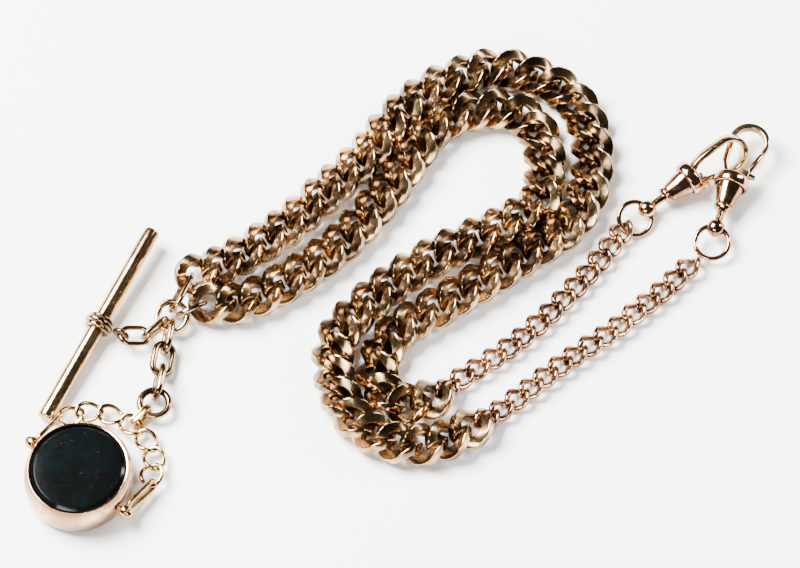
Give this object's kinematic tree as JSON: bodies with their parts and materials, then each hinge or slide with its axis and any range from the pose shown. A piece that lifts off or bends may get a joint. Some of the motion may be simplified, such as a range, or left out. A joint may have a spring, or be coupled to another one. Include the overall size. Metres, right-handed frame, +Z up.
{
  "type": "pocket watch chain",
  "caption": "Double-strand curb-link watch chain with T-bar, junction ring, swivelling oval stone fob and two spring clips.",
  "frame": {"origin": "centre of the bounding box on the table the chain lies on", "axes": "+X to the clips, away from the T-bar; +Y to the back, away from the viewer; +Z up from the table"},
  "size_m": [0.1486, 0.1072, 0.0083],
  "materials": {
    "worn_rose_gold": "worn rose gold, softly polished, warm reflections, darker between the links",
    "rose_gold": "polished rose gold with fine scratches",
    "yellow_gold": "polished yellow gold wire",
    "bloodstone": "polished near-black green stone with small dark red flecks",
    "spring_steel": "plain spring steel"
  },
  "bodies": {
    "junction": {"junction_ring": "worn_rose_gold"},
    "t_bar_link_2": {"t_bar_link_2": "worn_rose_gold"},
    "t_bar_link_1": {"t_bar_link_1": "worn_rose_gold"},
    "t_bar": {"t_bar": "worn_rose_gold", "t_bar_collar": "worn_rose_gold", "t_bar_eye": "worn_rose_gold"},
    "fob_link_1": {"fob_link_1": "worn_rose_gold"},
    "fob_link_2": {"fob_link_2": "worn_rose_gold"},
    "fob_link_3": {"fob_link_3": "worn_rose_gold"},
    "fob_ring": {"fob_ring": "rose_gold"},
    "fob_bail": {"fob_bail": "rose_gold"},
    "fob_arch": {"fob_arch": "yellow_gold", "fob_pin_left": "worn_rose_gold", "fob_pin_right": "worn_rose_gold"},
    "fob_case": {"fob_bezel": "rose_gold", "fob_stone_back": "bloodstone", "fob_stone_front": "bloodstone"},
    "strand_a_ring": {"strand_a_ring": "worn_rose_gold"},
    "strand_a_run_1": {"strand_a_run_1": "worn_rose_gold"},
    "strand_a_run_2": {"strand_a_run_2": "worn_rose_gold"},
    "strand_a_run_3": {"strand_a_run_3": "worn_rose_gold"},
    "strand_a_run_4": {"strand_a_run_4": "worn_rose_gold"},
    "strand_a_run_5": {"strand_a_run_5": "worn_rose_gold"},
    "tail_a_run_1": {"tail_a_run_1": "rose_gold"},
    "tail_a_run_2": {"tail_a_run_2": "rose_gold"},
    "clip_a_ring": {"clip_a_ring": "rose_gold"},
    "clip_a_eye": {"clip_a_eye": "rose_gold"},
    "clip_a": {"clip_a_barrel": "rose_gold", "clip_a_flange": "rose_gold", "clip_a_gate_pin": "worn_rose_gold", "clip_a_hook": "worn_rose_gold", "clip_a_spring": "spring_steel"},
    "clip_a_gate": {"clip_a_gate": "worn_rose_gold"},
    "clip_b": {"clip_b_barrel": "rose_gold", "clip_b_flange": "rose_gold", "clip_b_gate_pin": "worn_rose_gold", "clip_b_hook": "worn_rose_gold", "clip_b_spring": "spring_steel"},
    "clip_b_gate": {"clip_b_gate": "worn_rose_gold"},
    "clip_b_eye": {"clip_b_eye": "rose_gold"},
    "clip_b_ring": {"clip_b_ring": "rose_gold"},
    "strand_b_ring": {"strand_b_ring": "worn_rose_gold"},
    "strand_b_run_1": {"strand_b_run_1": "worn_rose_gold"},
    "strand_b_run_2": {"strand_b_run_2": "worn_rose_gold"},
    "strand_b_run_3": {"strand_b_run_3": "worn_rose_gold"},
    "strand_b_run_4": {"strand_b_run_4": "worn_rose_gold"},
    "strand_b_run_5": {"strand_b_run_5": "worn_rose_gold"},
    "tail_b_run_1": {"tail_b_run_1": "rose_gold"},
    "tail_b_run_2": {"tail_b_run_2": "rose_gold"}
  },
  "joints": [
    {"name": "bar_link_b_lift", "type": "hinge", "parent": "junction", "child": "t_bar_link_2", "pos_m": [-0.04729, -0.00716, 0.00241], "axis": [-0.6706, 0.7419, 0], "range_deg": [0, 15]},
    {"name": "bar_link_a_turn", "type": "hinge", "parent": "t_bar_link_2", "child": "t_bar_link_1", "pos_m": [-0.05088, -0.01041, 0.00226], "axis": [0, 0, 1], "range_deg": [-12, 0]},
    {"name": "bar_turn", "type": "hinge", "parent": "t_bar_link_1", "child": "t_bar", "pos_m": [-0.05507, -0.01086, 0.0031], "axis": [0, 0, -1], "range_deg": [0, 18]},
    {"name": "fob_link_a_lift", "type": "hinge", "parent": "junction", "child": "fob_link_1", "pos_m": [-0.04604, -0.00825, 0.00241], "axis": [-0.987, 0.161, 0], "range_deg": [-20, 3]},
    {"name": "fob_link_b_lift", "type": "hinge", "parent": "fob_link_1", "child": "fob_link_2", "pos_m": [-0.04687, -0.01331, 0.00244], "axis": [0.987, -0.161, 0], "range_deg": [0, 20]},
    {"name": "fob_link_c_lift", "type": "hinge", "parent": "fob_link_2", "child": "fob_link_3", "pos_m": [-0.04769, -0.01838, 0.00247], "axis": [-0.987, 0.161, 0], "range_deg": [0, 20]},
    {"name": "fob_ring_lift", "type": "hinge", "parent": "fob_link_3", "child": "fob_ring", "pos_m": [-0.04852, -0.02345, 0.0025], "axis": [0.987, -0.161, 0], "range_deg": [0, 20]},
    {"name": "fob_bail_lift", "type": "hinge", "parent": "fob_ring", "child": "fob_bail", "pos_m": [-0.04997, -0.02675, 0.00233], "axis": [-0.7182, 0.6958, 0], "range_deg": [0, 25]},
    {"name": "fob_arch_lift", "type": "hinge", "parent": "fob_bail", "child": "fob_arch", "pos_m": [-0.05307, -0.02995, 0.00183], "axis": [0.7771, -0.6293, 0], "range_deg": [0, 25]},
    {"name": "fob_case_turn", "type": "hinge", "parent": "fob_arch", "child": "fob_case", "pos_m": [-0.06345, -0.04277, 0.00415], "axis": [0.7771, -0.6293, 0], "continuous": true},
    {"name": "strand_a_ring_lift", "type": "hinge", "parent": "junction", "child": "strand_a_ring", "pos_m": [-0.04539, -0.0049, 0.00373], "axis": [0.9326, -0.3609, 0], "range_deg": [0, 15]},
    {"name": "strand_a_run_1_lift", "type": "hinge", "parent": "strand_a_ring", "child": "strand_a_run_1", "pos_m": [-0.04253, 0.00251, 0.0025], "axis": [0.3433, -0.9392, 0], "range_deg": [0, 12]},
    {"name": "strand_a_run_2_lift", "type": "hinge", "parent": "strand_a_run_1", "child": "strand_a_run_2", "pos_m": [-0.01049, 0.02674, 0.0025], "axis": [-0.7387, 0.674, 0], "range_deg": [0, 20]},
    {"name": "strand_a_run_3_lift", "type": "hinge", "parent": "strand_a_run_2", "child": "strand_a_run_3", "pos_m": [0.02058, 0.05014, 0.0025], "axis": [0.2613, 0.9653, 0], "range_deg": [0, 20]},
    {"name": "strand_a_run_4_lift", "type": "hinge", "parent": "strand_a_run_3", "child": "strand_a_run_4", "pos_m": [0.03656, 0.01958, 0.0025], "axis": [-0.8908, 0.4544, 0], "range_deg": [0, 20]},
    {"name": "strand_a_run_5_lift", "type": "hinge", "parent": "strand_a_run_4", "child": "strand_a_run_5", "pos_m": [0.0052, -0.00551, 0.0025], "axis": [-0.5319, 0.8468, 0], "range_deg": [0, 20]},
    {"name": "tail_a_run_1_lift", "type": "hinge", "parent": "strand_a_run_5", "child": "tail_a_run_1", "pos_m": [0.00753, -0.02339, 0.00225], "axis": [-0.6375, 0.7704, 0], "range_deg": [0, 20]},
    {"name": "tail_a_run_2_lift", "type": "hinge", "parent": "tail_a_run_1", "child": "tail_a_run_2", "pos_m": [0.02833, -0.00636, 0.00183], "axis": [0.7318, -0.6816, 0], "range_deg": [0, 20]},
    {"name": "clip_a_ring_lift", "type": "hinge", "parent": "tail_a_run_2", "child": "clip_a_ring", "pos_m": [0.04477, 0.01426, 0.00183], "axis": [0.82, -0.5723, 0], "range_deg": [0, 20]},
    {"name": "clip_a_eye_turn", "type": "hinge", "parent": "clip_a_ring", "child": "clip_a_eye", "pos_m": [0.04929, 0.01824, 0.00229], "axis": [0.5773, -0.7008, -0.419], "range_deg": [-15, 5]},
    {"name": "clip_a_swivel", "type": "hinge", "parent": "clip_a_eye", "child": "clip_a", "pos_m": [0.05795, 0.02453, 0.0037], "axis": [0.8021, 0.5828, 0.1305], "range_deg": [-15, 15]},
    {"name": "clip_a_gate_open", "type": "hinge", "parent": "clip_a", "child": "clip_a_gate", "pos_m": [0.06079, 0.02493, 0.00209], "axis": [0.4209, -0.7067, 0.5687], "range_deg": [0, 8], "stiffness_Nm_per_rad": 0.002, "springref_deg": -5.73},
    {"name": "clip_b_lift", "type": "hinge", "parent": "clip_a", "child": "clip_b", "pos_m": [0.06579, 0.03064, 0.00398], "axis": [-0.9511, 0.309, 0], "range_deg": [0, 8]},
    {"name": "clip_b_gate_open", "type": "hinge", "parent": "clip_b", "child": "clip_b_gate", "pos_m": [0.06929, 0.02509, 0.0038], "axis": [-0.0135, -0.0415, 0.999], "range_deg": [0, 18], "stiffness_Nm_per_rad": 0.002, "springref_deg": -5.73},
    {"name": "clip_b_swivel", "type": "hinge", "parent": "clip_b", "child": "clip_b_eye", "pos_m": [0.06635, 0.02363, 0.0037], "axis": [0.3087, 0.9502, 0.0436], "continuous": true},
    {"name": "clip_b_ring_turn", "type": "hinge", "parent": "clip_b_eye", "child": "clip_b_ring", "pos_m": [0.06302, 0.01337, 0.00323], "axis": [-0.9511, 0.309, 0], "range_deg": [-20, 20]},
    {"name": "strand_b_ring_lift", "type": "hinge", "parent": "junction", "child": "strand_b_ring", "pos_m": [-0.04398, -0.006, 0.00343], "axis": [0.5147, -0.8573, 0], "range_deg": [0, 15]},
    {"name": "strand_b_run_1_lift", "type": "hinge", "parent": "strand_b_ring", "child": "strand_b_run_1", "pos_m": [-0.03975, -0.00346, 0.0025], "axis": [-0.0504, -0.9987, 0], "range_deg": [0, 20]},
    {"name": "strand_b_run_2_lift", "type": "hinge", "parent": "strand_b_run_1", "child": "strand_b_run_2", "pos_m": [-0.00648, 0.0168, 0.0025], "axis": [-0.8154, 0.5789, 0], "range_deg": [0, 20]},
    {"name": "strand_b_run_3_lift", "type": "hinge", "parent": "strand_b_run_2", "child": "strand_b_run_3", "pos_m": [0.02233, 0.04008, 0.0025], "axis": [0.5538, 0.8326, 0], "range_deg": [0, 20]},
    {"name": "strand_b_run_4_lift", "type": "hinge", "parent": "strand_b_run_3", "child": "strand_b_run_4", "pos_m": [0.01311, 0.01051, 0.0025], "axis": [-0.4501, 0.893, 0], "range_deg": [0, 20]},
    {"name": "strand_b_run_5_lift", "type": "hinge", "parent": "strand_b_run_4", "child": "strand_b_run_5", "pos_m": [-0.01347, -0.01753, 0.0025], "axis": [-0.9833, -0.1822, 0], "range_deg": [0, 20]},
    {"name": "tail_b_run_1_lift", "type": "hinge", "parent": "strand_b_run_5", "child": "tail_b_run_1", "pos_m": [0.0152, -0.03002, 0.00225], "axis": [-0.5859, 0.8104, 0], "range_deg": [0, 20]},
    {"name": "tail_b_run_2_lift", "type": "hinge", "parent": "tail_b_run_1", "child": "tail_b_run_2", "pos_m": [0.03904, -0.01129, 0.00183], "axis": [0.5895, -0.8078, 0], "range_deg": [0, 20]}
  ]
}
